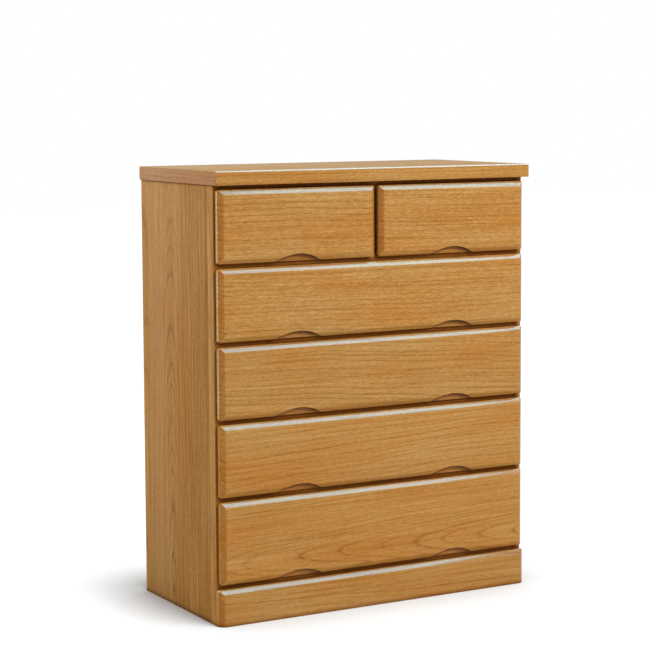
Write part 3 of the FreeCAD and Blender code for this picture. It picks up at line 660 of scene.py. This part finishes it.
def buildFloor():
    half = stageValues["floorSize"] / 2
    corners = [(-half, -half, 0), (half, -half, 0), (half, half, 0), (-half, half, 0)]
    mesh = bpy.data.meshes.new("studioFloor")
    mesh.from_pydata(corners, [], [(0, 1, 2, 3)])
    floor = bpy.data.objects.new("studioFloor", mesh)
    bpy.context.scene.collection.objects.link(floor)
    material = bpy.data.materials.new("paleFloor")
    material.use_nodes = True
    tree = material.node_tree
    shader = tree.nodes["Principled BSDF"]
    shader.inputs["Roughness"].default_value = stageValues["floorRoughness"]
    shader.inputs["Specular IOR Level"].default_value = 0.0
    shader.inputs["Emission Color"].default_value = (1.0, 1.0, 1.0, 1.0)
    seen = seenRay(tree)
    color = mix(tree, seen, opaque(stageValues["floorBounce"]), opaque(stageValues["floorSeen"]))
    feed(tree, shader.inputs["Base Color"], color)
    # painted contact shadow: the lift fades close to the chest, so that the floor darkens there on top of its
    # real shadow
    near = tree.nodes.new("ShaderNodeAmbientOcclusion")
    near.samples = stageValues["contactSamples"]
    near.inputs["Distance"].default_value = stageValues["contactReach"]
    lift = remap(tree, near.outputs["AO"], *stageValues["contactSpan"], 0.0, stageValues["floorLift"])
    feed(tree, shader.inputs["Emission Strength"], times(tree, seen, lift))
    mesh.materials.append(material)
    return floor


def buildWorld():
    world = bpy.data.worlds.new("paleStudio")
    bpy.context.scene.world = world
    world.use_nodes = True
    tree = world.node_tree
    background = tree.nodes["Background"]
    background.inputs["Color"].default_value = (1.0, 1.0, 1.0, 1.0)
    strength = remap(tree, seenRay(tree), 0.0, 1.0, stageValues["worldLevel"], 1.0)
    feed(tree, background.inputs["Strength"], strength)


# each lamp: where it stands, what it faces, its width and height, its brightness as a mirror shows it,
# its tint, and what it is for: "matt" lights the chest but not its gloss, "gloss" only shows in the gloss.
# It doesn't light the boards in spares, and shines through those in passes: the tinted box overhead would
# turn the slab's panel greenish, and reaches past the slab's front strip to the bevels of the top row
lamps = {
    "overheadBox": {"at": (1.15, -1.2, 2.5), "facing": (1.15, -1.2, 0.0), "size": (1.9, 1.95), "level": 7.2,
                    "tint": (0.31, 0.82, 1.06), "use": "gloss", "spares": ["top_panel"],
                    "passes": ["top_front_strip"]},
    "rearLeftStrip": {"at": (-1.45, 1.9, 1.05), "facing": (-0.35, 0.0, 0.8), "size": (0.5, 0.9), "level": 7.0,
                      "tint": (1.0, 1.0, 1.0), "use": "gloss", "spares": ["top_front_strip"], "passes": []},
    "rightKey": {"at": (1.43, -3.72, 2.95), "facing": (0.0, -0.19, 0.5), "size": (1.0, 1.0), "level": 41.3,
                 "tint": (1.0, 1.0, 1.0), "use": "matt", "spares": [], "passes": []},
    "leftFill": {"at": (-2.6, 1.2, 2.6), "facing": (-0.4, 0.0, 0.6), "size": (1.6, 1.6), "level": 6.1,
                 "tint": (1.0, 1.0, 1.0), "use": "matt", "spares": [], "passes": []},
}
# a wide sun for the floor alone, leaning to the right and the front; angles in degrees
floorSun = {"level": 0.60, "width": 15.0, "lean": 11.0, "toRight": 20.0, "at": (0.0, 0.0, 3.0)}


def linkedTo(things, label, state):
    collection = bpy.data.collections.new(label)
    for thing in things:
        collection.objects.link(thing)
    for item in collection.collection_objects:
        item.light_linking.link_state = state
    return collection


def addLamp(name, data, matrix, receivers):
    lamp = bpy.data.objects.new(name, data)
    lamp.matrix_world = matrix
    lamp.visible_camera = False
    lamp.light_linking.receiver_collection = receivers
    bpy.context.scene.collection.objects.link(lamp)
    return lamp


def turnedTowards(at, facing):
    ahead = (Vector(facing) - Vector(at)).normalized()
    steep = abs(ahead.z) > 0.9
    wide = Vector((1.0, 0.0, 0.0)) if steep else ahead.cross(Vector((0.0, 0.0, 1.0)))
    tall = wide.cross(ahead).normalized()
    return Matrix((ahead.cross(tall), tall, -ahead)).transposed().to_4x4()


def buildLamps(floor):
    # the lamps of the chest spare the floor, which has a sun of its own, so that its shadow stays soft
    for name, values in lamps.items():
        data = bpy.data.lights.new(name, "AREA")
        data.shape = "RECTANGLE"
        data.size, data.size_y = values["size"]
        data.energy = math.pi * data.size * data.size_y * values["level"]
        data.color = values["tint"]
        spared = [floor] + [nodes[board] for board in values["spares"]]
        matrix = Matrix.Translation(values["at"]) @ turnedTowards(values["at"], values["facing"])
        lamp = addLamp(name, data, matrix, linkedTo(spared, f"{name}Spares", "EXCLUDE"))
        if values["passes"]:
            passed = [nodes[board] for board in values["passes"]]
            lamp.light_linking.blocker_collection = linkedTo(passed, f"{name}Passes", "EXCLUDE")
        lamp.visible_diffuse = values["use"] != "gloss"
        lamp.visible_glossy = values["use"] != "matt"
    sun = bpy.data.lights.new("floorSun", "SUN")
    sun.energy = math.pi * floorSun["level"]
    sun.angle = math.radians(floorSun["width"])
    lean, toRight = (math.radians(floorSun[key]) for key in ("lean", "toRight"))
    turn = Matrix.Rotation(toRight, 4, "Z") @ Matrix.Rotation(lean, 4, "X")
    litFloor = linkedTo([floor], "litByFloorSun", "INCLUDE")
    addLamp("floorSun", sun, Matrix.Translation(floorSun["at"]) @ turn, litFloor)


buildWorld()
buildLamps(buildFloor())
print("floor, backdrop and lamps in place")


# camera, at the photograph's viewing angle; angles in degrees, focalPixels in pixels of the square frame

cameraValues = {"at": (-2.24611, -3.92346, 1.13358), "yaw": 29.48, "pitch": -5.35, "roll": -0.285,
                "focalPixels": 1979.57, "imagePixels": 650.0, "sensor": 36.0, "shiftDown": 0.065,
                "farthest": 100.0}


def buildCamera():
    yaw, pitch, roll = (math.radians(cameraValues[key]) for key in ("yaw", "pitch", "roll"))
    ahead = Vector((math.sin(yaw) * math.cos(pitch), math.cos(yaw) * math.cos(pitch), math.sin(pitch)))
    level = Vector((math.cos(yaw), -math.sin(yaw), 0.0))
    above = level.cross(ahead)
    right = level * math.cos(roll) + above * math.sin(roll)
    up = above * math.cos(roll) - level * math.sin(roll)
    turn = Matrix((right, up, -ahead)).transposed()
    data = bpy.data.cameras.new("viewCamera")
    data.sensor_width = cameraValues["sensor"]
    data.lens = cameraValues["focalPixels"] / cameraValues["imagePixels"] * cameraValues["sensor"]
    data.shift_y = -cameraValues["shiftDown"]
    data.clip_end = cameraValues["farthest"]
    camera = bpy.data.objects.new("viewCamera", data)
    camera.matrix_world = Matrix.Translation(cameraValues["at"]) @ turn.to_4x4()
    bpy.context.scene.collection.objects.link(camera)
    bpy.context.scene.camera = camera


buildCamera()
bpy.context.scene.view_settings.view_transform = "Standard"
print("camera set")

bpy.context.view_layer.update()
